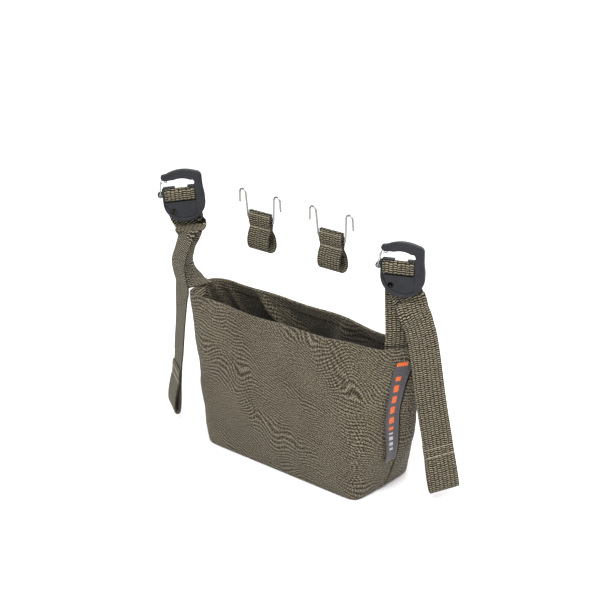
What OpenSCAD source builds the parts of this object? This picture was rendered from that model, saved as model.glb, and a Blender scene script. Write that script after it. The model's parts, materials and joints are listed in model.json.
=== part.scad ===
// Binocular harness pack: an open cloth pouch on two adjustable webbing straps with gate hooks,
// and two loose webbing loops on bent wire hooks.
// The base of the pouch stands at z = 0, +X runs along the pouch to its labelled end, +Y to its back.

/* [Pouch] */
// Length of the boxed base
base_l = 160; // [150:1:165]
// Depth of the boxed base
base_d = 70; // [66:1:74]
// Height of the rim above the base
bag_h = 126; // [120:1:132]
// Thickness of the pouch cloth
cloth_t = 1.2; // [0.8:0.1:1.6]
// How far the filled walls swell out at mid height
bulge = 6; // [2:1:8]

/* [Label] */
// Width of the woven side label
label_w = 15; // [10:1:18]
// Height of the label's lower end above the base
label_low = 31; // [26:1:40]
// Height of the label's upper end above the base
label_high = 114; // [90:1:116]
// Thickness of the label
label_t = 0.6; // [0.4:0.1:0.8]

/* [Webbing] */
// Width of the webbing
web_w = 24.6; // [24:0.1:25]
// Thickness of the webbing
web_t = 1.4; // [1.2:0.1:1.5]
// Length of the folded finger loop at the end of each strap
loop_l = 37; // [30:1:40]
// Diameter of the sewing thread
thread_d = 0.6; // [0.4:0.1:0.8]

/* [Gate hook] */
// Thickness of the moulded frame
frame_t = 4.4; // [4:0.2:5]
// Clear width of the webbing slots
slot_w = 25.4; // [25.2:0.1:26]
// Diameter of the gate wire
gate_d = 0.9; // [0.8:0.1:1]

/* [Wire hooks] */
// Diameter of the hook wire
wire_d = 1.8; // [1.6:0.1:2]
// Height of the hooks above the cross wire
hook_h = 23.8; // [22:0.2:26]
// Inside radius of each hook's crook
crook_r = 2.5; // [2:0.1:3]
// Length of webbing above the cross wire
flap_h = 7.6; // [7:0.1:9]
// Length of webbing below the cross wire
hang_h = 25.4; // [22:0.2:28]

/* [Hidden] */
$fn = 48;
left = 0;
right = 1;

// Clearance between pieces that only touch
gap = 0.1;

// The rim's outline from the left side seam to the right one, past the front and past the back
seam_left = [-107.5, -13];
seam_right = [98, -4];
front_rim = [seam_left, [-103.5, -28], [-95, -31], [45, -27], [72, -22], [89, -15], seam_right];
back_rim = [seam_left, [-111, 0], [-107, 10], [-97, 16], [30, 14.5], [62, 11.5], [94, 12], [107.5, 8.5], seam_right];
front_base = [[-base_l / 2, 0], [-base_l / 2, -base_d / 2], [base_l / 2, -base_d / 2], [base_l / 2, 0]];
back_base = [[-base_l / 2, 0], [-base_l / 2, base_d / 2], [base_l / 2, base_d / 2], [base_l / 2, 0]];
wall_columns = 36;
wall_rows = 8;
seam_gap = 0.002;

// Where each strap is sewn to the rim, and the yaw of its width there
root_at = [[-103.8, -13.8, bag_h], [95, -1.7, bag_h]];
root_yaw = [105, 50];
root_depth = 12;
hinge_rise = 1;
riser_start = 1.2;

// Centre of each gate hook's upper bar, its yaw, and its roll about the line of sight through it
bar_at = [[-119.7, -18, 204.5], [93, -3, 191.5]];
bar_yaw = [45, 24];
bar_roll = [-5, 0];

// Each riser between its root and its gate hook: x, y, z and the yaw of its width
riser_route = [
    [
        [-113.2, -11.2, 132, 112], [-122, -7.8, 138, 116], [-123, -7, 146, 113], [-124, -5, 154, 106],
        [-124.6, -2.5, 161.5, 90], [-125.8, -1.5, 169, 66], [-125.2, -3, 179, 58],
    ],
    [[95, -1, 140, 47], [91.5, 2.8, 156, 36], [89.3, 4.6, 170, 27]],
];
// The webbing behind each gate hook, below its slot: across, up, out, and how far it has turned
lead_route = [
    [[0, -11, -3.5, 0], [0, -14, -3.5, 0], [1.2, -19, -6.4, -3], [5.2, -26.5, -3.8, -18]],
    [[0, -11, -3.5, 0], [0, -14, -3.5, 0], [3, -18, -3.7, 2], [7, -24.8, -3.8, 12]],
];
// Each hanging tail from under the gate hook down to the seam of its finger loop
tail_route = [
    [
        [-110.3, -19.5, 174, -15], [-112, -23, 164.5, -22], [-114, -25, 155, -23], [-116, -25.6, 146, -21],
        [-114.8, -25.2, 137, -20], [-114.9, -23, 127.5, -22], [-117, -21.8, 117.5, -24],
        [-119, -21.8, 94.5, -29], [-121.8, -22, 66, -30], [-123.4, -22, 49, -32],
    ],
    [[104.5, 2, 156, 52], [107.5, 4, 147, 60], [112, 5.5, 129, 60], [118.5, 8, 84, 57], [125, 10, 47, 57]],
];
// Which face of the tail the folded end is sewn to
fold_side = [1, -1];
// How far the finger loop stands open
loop_belly = [6, 3];
stitch_row_gap = 7.5;
raw_end = 11;

// The gate hook, across by up, from the centre of its upper bar
bar_half = 4;
bar_r = 1.4;
bar_b_top = -7.4;
bar_b_low = -12.8;
eye_low = -13;
plate_t = 3;
ring_at = [3, -6.6];
ring_r = 17.2;
ring_wall = 3;
boss_at = [-15.6, 0.8];
boss_r = 2.4;
pin_play = 0.05;
leg_out = 3.2;
pin_in = 0.8;
tab_low = 5.7;
tab_high = 6.9;
tab_left = -3.2;
tab_right = 6.7;

// Where the two loose hook loops hang, and how they are turned
hook_at = [[-69.5, 24, 181.5], [5.5, 24, 184]];
hook_yaw = -3;
hook_roll = -3;
leg_x = web_w / 2 + 2.2;
leg_splay = 1.6;

cloth_colour = [0.42, 0.39, 0.32];
web_colour = [0.39, 0.37, 0.30];
thread_colour = [0.62, 0.58, 0.48];
plastic_colour = [0.20, 0.20, 0.22];
wire_colour = [0.80, 0.80, 0.79];
label_colour = [0.40, 0.37, 0.39];

// ---- vectors, outlines and splines ----
function unit(v) = v / norm(v);
function lerp(a, b, t) = a + (b - a) * t;
function yaw_dir(yaw) = [cos(yaw), sin(yaw), 0];
function run_length(p, i = 0) = i >= len(p) - 1 ? 0 : norm(p[i + 1] - p[i]) + run_length(p, i + 1);
function walk(p, d, i = 0) =
    let (step = norm(p[i + 1] - p[i]))
    d <= step || i >= len(p) - 2 ? lerp(p[i], p[i + 1], d / step) : walk(p, d - step, i + 1);
function along(p, s) = walk(p, s * run_length(p));

function catmull(a, b, c, d, t) =
    0.5 * (2 * b + (c - a) * t + (2 * a - 5 * b + 4 * c - d) * t * t + (3 * b - a - 3 * c + d) * t * t * t);
function station(p, i) =
    i < 0 ? 2 * p[0] - p[1] : i >= len(p) ? 2 * p[len(p) - 1] - p[len(p) - 2] : p[i];
function spline(p, n) = [
    for (i = [0:len(p) - 2])
        for (k = [0:n - 1])
            catmull(station(p, i - 1), p[i], p[i + 1], station(p, i + 2), k / n),
    p[len(p) - 1],
];
function tangent(p, i) = unit(p[min(i + 1, len(p) - 1)] - p[max(i - 1, 0)]);
function arc(c, r, a, b, n) = [for (i = [0:n]) c + r * [cos(lerp(a, b, i / n)), sin(lerp(a, b, i / n))]];

// ---- solids made from rings ----
// Rings run counter-clockwise when they are seen from further along the sweep. The second half of a
// ring mirrors the first, and its faces are split the other way, so that a thin wall stays even.
function split_quad(a, b, c, d, mirrored) = mirrored ? [[a, b, d], [b, c, d]] : [[a, b, c], [a, c, d]];
function ring_cap(k, first) = [
    for (j = [0:k / 2 - 2])
        each split_quad(first + j, first + j + 1, first + k - 2 - j, first + k - 1 - j, false)
];
function flipped(faces) = [for (f = faces) [f[2], f[1], f[0]]];
module skin(rings) {
    k = len(rings[0]);
    m = len(rings);
    polyhedron(
        points = [for (r = rings) each r],
        faces = concat(
            ring_cap(k, 0),
            flipped(ring_cap(k, (m - 1) * k)),
            [for (i = [0:m - 2], j = [0:k - 1])
                let (a = i * k + j, b = i * k + (j + 1) % k)
                each split_quad(a, a + k, b + k, b, j >= k / 2)]
        )
    );
}

// Webbing swept along stations that each hold a centre and a width direction
function centre(s) = [s[0], s[1], s[2]];
function width_dir(s) = [s[3], s[4], s[5]];
function web_ring(c, w, t, half_w, half_t) =
    let (across = unit(w - (w * t) * t), n = cross(t, across))
    [
        c + across * half_w + n * half_t,
        c - across * half_w + n * half_t,
        c - across * half_w - n * half_t,
        c + across * half_w - n * half_t,
    ];
module ribbon(stations, steps) {
    s = spline(stations, steps);
    c = [for (q = s) centre(q)];
    skin([for (i = [0:len(s) - 1]) web_ring(c[i], width_dir(s[i]), tangent(c, i), web_w / 2, web_t / 2)]);
}

// Round wire along a path whose tangent never runs along reference
module wire(path, r, reference, sides = 10) {
    skin([
        for (i = [0:len(path) - 1])
            let (t = tangent(path, i), a = unit(reference - (reference * t) * t), b = cross(t, a))
            [for (j = [0:sides - 1]) path[i] + r * (a * cos(360 * j / sides) + b * sin(360 * j / sides))]
    ]);
}

// A flat strip bent along a path in a plane, as a closed outline
function strip_side(p, half) = [
    for (i = [0:len(p) - 1]) let (t = tangent(p, i)) p[i] + half * [-t[1], t[0]]
];
function reversed(p) = [for (i = [len(p) - 1:-1:0]) p[i]];
function strip_outline(p, t) = concat(strip_side(p, t / 2), reversed(strip_side(p, -t / 2)));

// A row of short stitches along x
module stitch_row(width, count) {
    pitch = width / count;
    for (i = [0:count - 1])
        translate([(i + 0.5) * pitch - width / 2 - pitch * 0.36, 0, 0])
            rotate([0, 90, 0])
                cylinder(h = pitch * 0.72, d = thread_d, $fn = 16);
}

// ---- pouch ----
function swell(t) = bulge * pow(max(0, sin(180 * t)), 0.7);
function flat_wall(base, rim, s, t) = lerp(along(base, s), along(rim, s), t);
function wall_normal(base, rim, s, t, side) =
    s < 0.01 ? [-1, 0] : s > 0.99 ? [1, 0] :
    let (d = unit(flat_wall(base, rim, s + 0.01, t) - flat_wall(base, rim, s - 0.01, t)))
    side * [d[1], -d[0]];
function wall_point(base, rim, s, t, side, inset) =
    let (p = flat_wall(base, rim, s, t) + wall_normal(base, rim, s, t, side) * (swell(t) - inset))
    [p[0], p[1], t * bag_h];
function wall_ring(base, rim, s, side, inset, depth, low, high, rows) =
    let (
        near = [for (i = [0:rows]) wall_point(base, rim, s, lerp(low, high, i / rows), side, inset + depth)],
        far = [for (i = [rows:-1:0]) wall_point(base, rim, s, lerp(low, high, i / rows), side, inset)]
    )
    side > 0 ? concat(near, far) : reversed(concat(near, far));
module wall(base, rim, side) {
    skin([
        for (j = [0:wall_columns])
            wall_ring(base, rim, lerp(seam_gap, 1 - seam_gap, j / wall_columns), side, 0, cloth_t, 0, 1, wall_rows)
    ]);
}

module front_panel() {
    color(cloth_colour) wall(front_base, front_rim, 1);
}

module back_panel() {
    color(cloth_colour) wall(back_base, back_rim, -1);
}

module base_panel() {
    inset = 2 * (cloth_t + gap);
    color(cloth_colour)
        translate([0, 0, cloth_t / 2])
            cube([base_l - inset, base_d - inset, cloth_t], center = true);
}

module side_label() {
    s_high = 0.985;
    s_low = s_high - label_w / run_length(front_rim);
    stand_off = 0.4;
    color(label_colour)
        skin([
            for (j = [0:3])
                wall_ring(
                    front_base, front_rim, lerp(s_low, s_high, j / 3), 1,
                    -stand_off - label_t, label_t, label_low / bag_h, label_high / bag_h, 6
                )
        ]);
}

// ---- straps ----
module at_root(side) {
    translate(root_at[side]) rotate([0, 0, root_yaw[side]]) children();
}

module strap_root(side) {
    color(web_colour)
        at_root(side)
            translate([0, 0, -root_depth / 2])
                cube([web_w, web_t, root_depth], center = true);
}

module bartack(side) {
    rows = 3;
    inner = side == left ? -1 : 1;
    color(thread_colour)
        at_root(side)
            for (i = [1:rows])
                translate([0, inner * (web_t / 2 + thread_d / 2 + 0.05), -i * 3])
                    stitch_row(web_w - 4, 7);
}

// Directions of a gate hook: across it, up it, and out of its front
function hook_across(side) =
    cos(bar_roll[side]) * yaw_dir(bar_yaw[side]) - [0, 0, sin(bar_roll[side])];
function hook_up(side) =
    sin(bar_roll[side]) * yaw_dir(bar_yaw[side]) + [0, 0, cos(bar_roll[side])];
function hook_out(side) = [sin(bar_yaw[side]), -cos(bar_yaw[side]), 0];
function hook_point(side, across, up, out) =
    bar_at[side] + across * hook_across(side) + up * hook_up(side) + out * hook_out(side);
function hook_station(side, across, up, out, turn = 0) =
    concat(
        hook_point(side, across, up, out),
        turn == 0 ? hook_across(side) : yaw_dir(bar_yaw[side] + turn)
    );
function free_station(q) = concat([q[0], q[1], q[2]], yaw_dir(q[3]));

module in_gate_hook(side) {
    translate(bar_at[side]) rotate([0, bar_roll[side], bar_yaw[side]]) children();
}

module riser(side) {
    foot = root_at[side] + [0, 0, hinge_rise + riser_start];
    stations = concat(
        [concat(foot, yaw_dir(root_yaw[side]))],
        [for (q = riser_route[side]) free_station(q)],
        [for (q = [[-12, -6], [-6.5, -5.6], [-2.6, -3.5]]) hook_station(side, 0, q[0], q[1])]
    );
    color(web_colour) ribbon(stations, 4);
}

// Path of the webbing through the gate hook: out of the front is x, up is y
function wrap_path() =
    let (mid = bar_r + gap + web_t / 2, turn = bar_half - bar_r, slot_y = -turn - mid, bend = 1.6)
    concat(
        [[-mid, -0.6]],
        arc([0, turn], mid, 180, 0, 12),
        arc([0, -turn], mid, 0, -90, 8),
        arc([-1.9, slot_y - bend], bend, 90, 180, 6),
        [[-1.9 - bend, -9.6]]
    );

module bar_wrap(side) {
    color(web_colour)
        in_gate_hook(side)
            rotate([90, 0, -90])
                linear_extrude(web_w, center = true)
                    polygon(strip_outline(wrap_path(), web_t));
}

function lead_stations(side) = [for (q = lead_route[side]) hook_station(side, q[0], q[1], q[2], q[3])];
module tail_lead(side) {
    color(web_colour) ribbon(lead_stations(side), 4);
}

function tail_seam(side) = tail_route[side][len(tail_route[side]) - 1];
function tail_fall(side) =
    let (r = tail_route[side], a = r[len(r) - 1], b = r[len(r) - 2]) unit(centre(a) - centre(b));
function tail_across(side) =
    let (w = yaw_dir(tail_seam(side)[3]), d = tail_fall(side)) unit(w - (w * d) * d);
// The folded end in the plane of the strap's thickness: down the strap, then out from its face
fold_gap = web_t + 0.3;
function fold_profile(belly) = [
    [stitch_row_gap, 0], [loop_l * 0.35, -belly * 0.1], [loop_l * 0.7, -belly * 0.3],
    [loop_l - 1.6, -belly * 0.1], [loop_l, (belly + fold_gap) * 0.4], [loop_l - 1.6, belly * 0.8 + fold_gap],
    [loop_l * 0.7, belly + fold_gap], [loop_l * 0.35, belly * 0.4 + fold_gap],
    [stitch_row_gap, fold_gap], [0, fold_gap], [stitch_row_gap - raw_end, fold_gap],
];
function fold_stations(side) =
    let (
        d = tail_fall(side), w = tail_across(side),
        out = fold_side[side] * cross(d, w), origin = centre(tail_seam(side))
    )
    [for (q = fold_profile(loop_belly[side])) concat(origin + q[0] * d + q[1] * out, w)];

module tail(side) {
    seam = centre(tail_seam(side));
    lead = lead_stations(side);
    lead_end = lead[len(lead) - 1];
    on = unit(centre(lead_end) - centre(lead[len(lead) - 2]));
    straight = [for (back = [12, 6]) concat(seam - back * tail_fall(side), tail_across(side))];
    stations = concat(
        [for (past = [2.4, 4.6]) concat(centre(lead_end) + past * on, width_dir(lead_end))],
        [for (i = [0:len(tail_route[side]) - 2]) free_station(tail_route[side][i])],
        straight,
        [concat(seam, tail_across(side))],
        fold_stations(side)
    );
    color(web_colour) ribbon(stations, 4);
}

module tail_stitches(side) {
    d = tail_fall(side);
    w = tail_across(side);
    out = fold_side[side] * cross(d, w);
    o = centre(tail_seam(side));
    faces = [-web_t / 2 - thread_d / 2 - 0.05, fold_gap + web_t / 2 + thread_d / 2 + 0.05];
    color(thread_colour)
        for (down = [0, stitch_row_gap], face = faces) {
            p = o + down * d + face * out;
            multmatrix([
                [w[0], out[0], d[0], p[0]],
                [w[1], out[1], d[1], p[1]],
                [w[2], out[2], d[2], p[2]],
                [0, 0, 0, 1],
            ])
                stitch_row(web_w - 2, 8);
        }
}

// ---- gate hook ----
function hook_outline() = concat(
    arc([-11.3, 15.2], 2.6, 200, 125, 5),
    arc([3.4, -8], 28.8, 116, 70, 12),
    arc([14.4, 13.6], 4.9, 62, 0, 6),
    [[19.3, 6], [20.2, -2]],
    arc(ring_at, ring_r, 0, -180, 30),
    [[-slot_w / 2 - 1.5, -2.2], [-slot_w / 2 - 1.5, tab_low], [-slot_w / 2, tab_high], [tab_left, tab_high]],
    [[tab_left, tab_low], [-slot_w / 2, tab_low], [-slot_w / 2, bar_half], [slot_w / 2, bar_half]],
    [[slot_w / 2, tab_low], [tab_right, tab_low], [tab_right, tab_high], [slot_w / 2 - 0.1, tab_high]],
    arc([9.6, 8.9], 3.1, -10, 55, 4),
    arc([1.5, -3.6], 17, 62, 108, 8),
    [[-6.8, 12.6], [-11.4, 12.2], [-12.6, 13.2]]
);

module slot_cut(low, high) {
    translate([-slot_w / 2, -frame_t, low]) cube([slot_w, 2 * frame_t, high - low]);
}

module gate_hook_body() {
    difference() {
        rotate([90, 0, 0]) linear_extrude(frame_t, center = true) polygon(hook_outline());
        slot_cut(bar_b_top, bar_half + 0.01);
        // Thinner lower plate, recessed from both faces
        for (face = [-1, 1])
            translate([-slot_w / 2, face * (plate_t / 2 + frame_t / 2) - frame_t / 2, eye_low])
                cube([slot_w, frame_t, bar_b_top - eye_low + 0.01]);
        // Lower eye
        intersection() {
            translate([ring_at[0], 0, ring_at[1]])
                rotate([90, 0, 0])
                    cylinder(h = 2 * frame_t, r = ring_r - ring_wall, center = true);
            translate([-20, -frame_t, -30]) cube([45, 2 * frame_t, 30 + bar_b_low]);
        }
    }
}

module upper_bar() {
    for (end = [-1, 1])
        translate([0, 0, end * (bar_half - bar_r)])
            rotate([0, 90, 0])
                cylinder(h = slot_w + 1, r = bar_r, center = true);
    cube([slot_w + 1, 2 * bar_r, 2 * (bar_half - bar_r)], center = true);
}

module gate_hook(side) {
    color(plastic_colour)
        in_gate_hook(side)
            difference() {
                union() {
                    gate_hook_body();
                    upper_bar();
                    translate([boss_at[0], 0, boss_at[1]])
                        rotate([90, 0, 0])
                            cylinder(h = frame_t, r = boss_r, center = true);
                }
                translate([boss_at[0], 0, boss_at[1]])
                    rotate([90, 0, 0])
                        cylinder(h = 4 * frame_t, r = gate_d / 2 + pin_play, center = true);
            }
}

module wire_gate(side) {
    path = spline([
        [boss_at[0], -leg_out + 0.2, boss_at[1]],
        [boss_at[0] + 0.15, -leg_out, boss_at[1] + 1],
        [boss_at[0] + 0.7, -leg_out, boss_at[1] + 5],
        [boss_at[0] + 1.1, -leg_out, boss_at[1] + 9.4],
        [-11, -leg_out, 12.2],
        [-9.6, -leg_out + 0.8, 11.5],
        [-9.2, 0, 11.3],
        [-9.6, leg_out - 0.8, 11.5],
        [-11, leg_out, 12.2],
        [boss_at[0] + 1.1, leg_out, boss_at[1] + 9.4],
        [boss_at[0] + 0.7, leg_out, boss_at[1] + 5],
        [boss_at[0] + 0.15, leg_out, boss_at[1] + 1],
        [boss_at[0], leg_out - 0.2, boss_at[1]],
    ], 3);
    color(wire_colour)
        in_gate_hook(side) {
            wire(path, gate_d / 2, [1, 0, 0]);
            for (face = [-1, 1])
                translate([boss_at[0], face * (leg_out + gate_d / 2), boss_at[1]])
                    rotate([face * 90, 0, 0])
                        cylinder(h = leg_out + gate_d / 2 - pin_in, d = gate_d, $fn = 32);
        }
}

// ---- loose hook loops ----
module in_wire_hook(side) {
    translate(hook_at[side]) rotate([0, hook_roll, hook_yaw]) children();
}

function hook_half() =
    let (r = crook_r + wire_d / 2, top = hook_h - r, x = leg_x + leg_splay)
    concat(
        [[leg_x - 2.6, 0], [leg_x - 0.9, 0.35], [leg_x, 1.9]],
        [[lerp(leg_x, x, 0.5), top * 0.5]],
        arc([x + r, top], r, 180, 0, 8),
        [[x + 2 * r + 0.3, hook_h - 11.4]]
    );

module wire_hook(side) {
    half = hook_half();
    path = concat(
        [for (q = reversed(half)) [-q[0], 0, q[1]]],
        [for (q = half) [q[0], 0, q[1]]]
    );
    color(wire_colour) in_wire_hook(side) wire(path, wire_d / 2, [0, 1, 0], 12);
}

// Half of the folded webbing seen from its edge: out from the middle is x, up is y
function fold_half() = [
    [0.85, flap_h], [0.9, 4.8], [wire_d / 2 + 0.85, 1.2], [wire_d / 2 + 0.85, -1.2], [1, -5],
    [1, -7], [3.4, -12], [4.5, -17.5], [4, -hang_h + 3.6], [2.3, -hang_h + 1.3],
];

module hook_webbing(side) {
    half = fold_half();
    path = spline(concat(
        half,
        [[0, -hang_h + 0.7]],
        [for (q = reversed(half)) [-q[0], q[1]]]
    ), 3);
    color(web_colour)
        in_wire_hook(side)
            rotate([90, 0, 90])
                linear_extrude(web_w, center = true)
                    polygon(strip_outline(path, web_t));
}

module hook_stitches(side) {
    out = 1 + web_t / 2 + thread_d / 2 + 0.1;
    color(thread_colour)
        in_wire_hook(side)
            for (z = [4.9, -6], face = [-1, 1])
                translate([0, face * out, z])
                    stitch_row(web_w - 2, 8);
}

module left_strap_root() strap_root(left);
module right_strap_root() strap_root(right);
module left_bartack() bartack(left);
module right_bartack() bartack(right);
module left_riser() riser(left);
module right_riser() riser(right);
module left_tail_lead() tail_lead(left);
module right_tail_lead() tail_lead(right);
module left_bar_wrap() bar_wrap(left);
module right_bar_wrap() bar_wrap(right);
module left_gate_hook() gate_hook(left);
module right_gate_hook() gate_hook(right);
module left_wire_gate() wire_gate(left);
module right_wire_gate() wire_gate(right);
module left_tail() tail(left);
module right_tail() tail(right);
module left_tail_stitches() tail_stitches(left);
module right_tail_stitches() tail_stitches(right);
module left_wire_hook() wire_hook(left);
module right_wire_hook() wire_hook(right);
module left_hook_webbing() hook_webbing(left);
module right_hook_webbing() hook_webbing(right);
module left_hook_stitches() hook_stitches(left);
module right_hook_stitches() hook_stitches(right);

front_panel();
back_panel();
base_panel();
side_label();
left_strap_root();
right_strap_root();
left_bartack();
right_bartack();
left_riser();
right_riser();
left_bar_wrap();
right_bar_wrap();
left_tail_lead();
right_tail_lead();
left_gate_hook();
right_gate_hook();
left_wire_gate();
right_wire_gate();
left_tail();
right_tail();
left_tail_stitches();
right_tail_stitches();
left_wire_hook();
right_wire_hook();
left_hook_webbing();
right_hook_webbing();
left_hook_stitches();
right_hook_stitches();
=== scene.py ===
"""Looks of the binocular harness pack: a woven pouch, webbing straps, gate hooks and wire hooks.

Lengths in this script are in millimetres, and become metres as each mesh is made.
"""

import json
import math

import bpy
from mathutils import Matrix, Vector, noise


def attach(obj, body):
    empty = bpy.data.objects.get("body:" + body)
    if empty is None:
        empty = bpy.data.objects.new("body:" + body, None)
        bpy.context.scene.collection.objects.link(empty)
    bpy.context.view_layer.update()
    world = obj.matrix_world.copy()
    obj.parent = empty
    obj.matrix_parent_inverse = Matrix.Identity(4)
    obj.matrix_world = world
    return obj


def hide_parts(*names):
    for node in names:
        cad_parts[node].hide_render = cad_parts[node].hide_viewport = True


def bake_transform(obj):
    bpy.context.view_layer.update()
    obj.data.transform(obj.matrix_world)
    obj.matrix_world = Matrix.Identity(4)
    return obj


MM = 0.001
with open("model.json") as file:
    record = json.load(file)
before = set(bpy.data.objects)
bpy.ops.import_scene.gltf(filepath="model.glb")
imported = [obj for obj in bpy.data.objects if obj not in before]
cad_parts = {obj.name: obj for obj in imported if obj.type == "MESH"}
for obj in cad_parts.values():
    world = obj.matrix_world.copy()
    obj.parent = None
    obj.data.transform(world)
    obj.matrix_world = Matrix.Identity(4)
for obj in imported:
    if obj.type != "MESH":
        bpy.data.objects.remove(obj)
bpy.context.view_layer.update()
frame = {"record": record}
SIDES = ("left", "right")


def joint_place(name):
    joints = frame["record"]["behaviour"]["joints"]
    return Vector(next(j["pos_m"] for j in joints if j["name"] == name)) / MM


# -------- camera, light and floor

camera_yaw = 40.6
camera_pitch = 23.0
camera_distance = 1420
camera_target = Vector((-7, 0, 136.5))
camera_lens = 107.4
sensor_width = 36
clip_range = (0.05, 20)
light_target = Vector((0, 0, 90))
world_strength = 0.85


def direction(yaw, pitch=0.0):
    """The unit vector towards a viewer at this azimuth and elevation."""
    a, e = math.radians(yaw), math.radians(pitch)
    return Vector((math.sin(a) * math.cos(e), -math.cos(a) * math.cos(e), math.sin(e)))


def add_object(name, data):
    obj = bpy.data.objects.new(name, data)
    bpy.context.collection.objects.link(obj)
    return obj


def aim(obj, place, target):
    obj.location = place * MM
    obj.rotation_euler = (target - place).to_track_quat("-Z", "Y").to_euler()


def add_camera():
    data = bpy.data.cameras.new("camera")
    data.lens = camera_lens
    data.sensor_width = sensor_width
    data.clip_start, data.clip_end = clip_range
    camera = add_object("camera", data)
    place = camera_target + camera_distance * direction(camera_yaw, camera_pitch)
    aim(camera, place, camera_target)
    bpy.context.scene.camera = camera


def add_softbox(name, yaw, pitch, distance, size, power):
    """A square area light of so many watts."""
    data = bpy.data.lights.new(name, "AREA")
    data.size = size * MM
    data.energy = power
    place = light_target + distance * direction(yaw, pitch)
    aim(add_object(name, data), place, light_target)


def linear(colour):
    """Linear light from a display colour of 0 to 255."""
    shares = [value / 255 for value in colour]
    return tuple(c / 12.92 if c <= 0.04045 else ((c + 0.055) / 1.055) ** 2.4 for c in shares)


def add_world():
    world = bpy.data.worlds.new("studio")
    world.use_nodes = True
    background = world.node_tree.nodes["Background"]
    background.inputs["Color"].default_value = (1, 1, 1, 1)
    background.inputs["Strength"].default_value = world_strength
    bpy.context.scene.world = world
    bpy.context.scene.view_settings.view_transform = "Standard"


# -------- node materials


class Paint:
    """A material in the making: its node tree and its shader."""

    def __init__(self, name):
        self.material = bpy.data.materials.new(name)
        self.material.use_nodes = True
        self.tree = self.material.node_tree
        self.shader = self.tree.nodes["Principled BSDF"]

    def node(self, kind, sockets=None, **settings):
        """A new node with its input sockets filled."""
        made = self.tree.nodes.new(kind)
        for key, value in settings.items():
            setattr(made, key, value)
        for key, value in (sockets or {}).items():
            self.feed(made.inputs[key], value)
        return made

    def feed(self, socket, value):
        if isinstance(value, bpy.types.NodeSocket):
            self.tree.links.new(value, socket)
        else:
            socket.default_value = value

    def math(self, operation, a, b=0.0, c=0.0):
        return self.node("ShaderNodeMath", {0: a, 1: b, 2: c}, operation=operation).outputs[0]

    def times(self, a, b, plus=None):
        if plus is None:
            return self.math("MULTIPLY", a, b)
        return self.math("MULTIPLY_ADD", a, b, plus)

    def clamp(self, value):
        return self.math("MINIMUM", self.math("MAXIMUM", value, 0.0), 1.0)

    def wave(self, value, pitch):
        return self.math("SINE", self.times(value, 2 * math.pi / pitch))

    def uv(self):
        split = self.node("ShaderNodeSeparateXYZ", {0: self.node("ShaderNodeUVMap").outputs[0]})
        return split.outputs[0], split.outputs[1]

    def join(self, x, y):
        return self.node("ShaderNodeCombineXYZ", {0: x, 1: y}).outputs[0]

    def noise(self, vector, scale, detail=2.0, roughness=0.5):
        sockets = {"Vector": vector, "Scale": scale, "Detail": detail, "Roughness": roughness}
        return self.node("ShaderNodeTexNoise", sockets).outputs["Fac"]

    def ramp(self, factor, stops):
        made = self.node("ShaderNodeValToRGB", {0: factor})
        elements = made.color_ramp.elements
        while len(elements) < len(stops):
            elements.new(0.5)
        for element, (position, colour) in zip(elements, stops):
            element.position = position
            element.color = (*colour, 1)
        return made.outputs[0]

    def mix(self, factor, a, b):
        return self.node("ShaderNodeMix", {0: factor, 6: a, 7: b}, data_type="RGBA").outputs[2]

    def finish(self, colour, roughness, height=None, depth=0.1, **constants):
        """Join up the shader; depth is the bump's, in millimetres."""
        self.feed(self.shader.inputs["Base Color"], colour)
        self.feed(self.shader.inputs["Roughness"], roughness)
        for name, value in constants.items():
            self.shader.inputs[name.replace("_", " ")].default_value = value
        if height is not None:
            bump = self.node("ShaderNodeBump", {"Strength": 1, "Distance": depth * MM, "Height": height})
            self.feed(self.shader.inputs["Normal"], bump.outputs[0])
        return self.material


# Pitches of the weaves, and widths of the painted shade along the seams and inside the lining
ripple_pitch, dash_pitch = 2.4, 1.9
lane_pitch, row_pitch, weft_pitch = 3.2, 1.66, 0.6
lane_stagger = 0.2
seam_line_fade = 1.3
lining_fade = 45
rim_edge = 2


def object_place(paint):
    """Position in millimetres, for patterns that need no unwrapping."""
    place = paint.node("ShaderNodeTexCoord").outputs["Object"]
    return paint.node("ShaderNodeVectorMath", {0: place, "Scale": 1 / MM}, operation="SCALE").outputs[0]


def cloth_yarns(paint, u, v, place):
    """Swirling ripples that are broken into dashes, from -1 to 1."""
    drift = paint.noise(place, 0.014, 1.2)
    swirl = paint.noise(place, 0.045, 1.0)
    phase = paint.times(drift, 62.0, paint.times(swirl, 9.0, v))
    phase = paint.times(u, 0.25, phase)
    ripple = paint.wave(phase, ripple_pitch)
    cross = paint.times(v, -0.35, paint.times(drift, 16.0, u))
    dashes = paint.times(ripple, paint.wave(cross, dash_pitch))
    return paint.times(dashes, 0.55, paint.times(ripple, 0.45))


def seam_groove_and_shade(paint, u, v):
    """Painted shade along the end seams, a mask also used for their dented bump: the left seam is straight,
    the right one leans back.
    """
    share = paint.clamp(paint.math("DIVIDE", v, pouch_height))
    low = paint.math("MINIMUM", paint.times(share, seam_low_rate), 1.0)
    high = paint.times(share, 1 / seam_high_run, -seam_high_from / seam_high_run)
    high = paint.math("POWER", paint.math("MAXIMUM", high, 0.0), seam_high_power)
    lean = paint.times(high, seam_high * pouch_girth)
    lean = paint.times(low, seam_low * pouch_girth, lean)
    behind = paint.math("SUBTRACT", u, 0.5 * pouch_girth)
    right = paint.math("ABSOLUTE", paint.math("SUBTRACT", behind, lean))
    left = paint.math("MINIMUM", u, paint.math("SUBTRACT", pouch_girth, u))
    off = paint.math("MINIMUM", right, left)
    line = paint.clamp(paint.times(off, -1 / seam_line_fade, 1.7))
    return paint.times(line, paint.math("LESS_THAN", v, pouch_height))


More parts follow.
